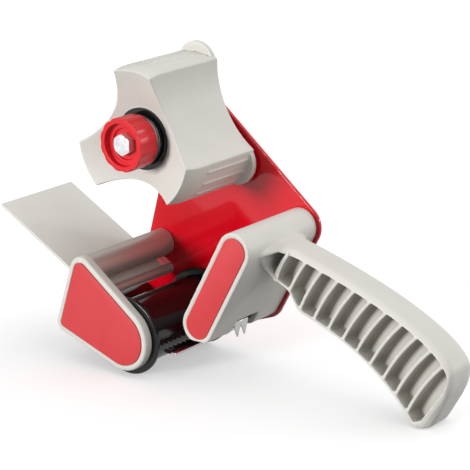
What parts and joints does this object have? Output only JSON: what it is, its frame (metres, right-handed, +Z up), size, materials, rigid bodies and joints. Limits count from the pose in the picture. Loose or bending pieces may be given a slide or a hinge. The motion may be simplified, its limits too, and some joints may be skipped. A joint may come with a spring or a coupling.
{
  "type": "handheld tape dispenser",
  "caption": "Hand-held packing tape dispenser with a lobed core hub on a steel side plate, tension knob, guide and press rollers, hinged flap, toothed blade and ribbed pistol grip.",
  "frame": {"origin": "centre of the part's outline on the surface that it stands on, with the press roller flanges and the end of the grip on that surface", "axes": "+X from the flap to the grip, +Y along the roller axes from the front guard to the steel side plate, +Z up"},
  "size_m": [0.2676, 0.0718, 0.1637],
  "materials": {
    "plate_red": "gloss red paint on sheet steel",
    "grey_plastic": "fine moulded texture, warm light grey",
    "insert_red": "satin red, bare",
    "knob_red": "moulded red",
    "black_rubber": "ground black rubber",
    "black_plastic": "gloss black",
    "dark_plastic": "dark nylon",
    "zinc": "bright zinc plate",
    "satin_chrome": "satin chrome",
    "blade_steel": "stamped spring steel"
  },
  "bodies": {
    "frame": {"side_plate": "plate_red", "front_guard": "grey_plastic", "guard_insert": "insert_red", "tie_rod": "zinc", "guide_axle": "zinc", "press_axle": "zinc", "flap_pin": "zinc", "rod_nuts": "zinc", "hub_sleeve": "zinc", "hub_nut": "zinc", "rear_washer": "dark_plastic", "handle": "grey_plastic", "handle_insert": "insert_red", "handle_screws": "zinc", "blade": "blade_steel", "blade_carrier": "blade_steel", "blade_rivets": "zinc", "carrier_screws": "zinc"},
    "hub": {"hub": "grey_plastic", "friction_ring": "black_rubber"},
    "knob": {"tension_knob": "knob_red", "hub_bolt": "zinc", "tension_washer": "zinc", "cone_spring": "zinc"},
    "guide_roller": {"guide_roller": "satin_chrome", "guide_bushes": "dark_plastic"},
    "press_roller": {"press_sleeve": "black_rubber", "press_core": "dark_plastic", "press_flanges": "black_plastic"},
    "flap": {"flap": "grey_plastic", "flap_tube": "satin_chrome"}
  },
  "joints": [
    {"name": "hub_spin", "type": "hinge", "parent": "frame", "child": "hub", "pos_m": [-0.0402, 0, 0.121], "axis": [0, 1, 0], "continuous": true},
    {"name": "knob_turn", "type": "hinge", "parent": "frame", "child": "knob", "pos_m": [-0.0402, 0, 0.121], "axis": [0, 1, 0], "range_deg": [-180, 180]},
    {"name": "guide_spin", "type": "hinge", "parent": "frame", "child": "guide_roller", "pos_m": [-0.0692, 0, 0.051], "axis": [0, 1, 0], "continuous": true},
    {"name": "press_spin", "type": "hinge", "parent": "frame", "child": "press_roller", "pos_m": [-0.0437, 0, 0.0205], "axis": [0, 1, 0], "continuous": true},
    {"name": "flap_tilt", "type": "hinge", "parent": "frame", "child": "flap", "pos_m": [-0.0652, 0, 0.037], "axis": [0, 1, 0], "range_deg": [-50, 8]}
  ]
}
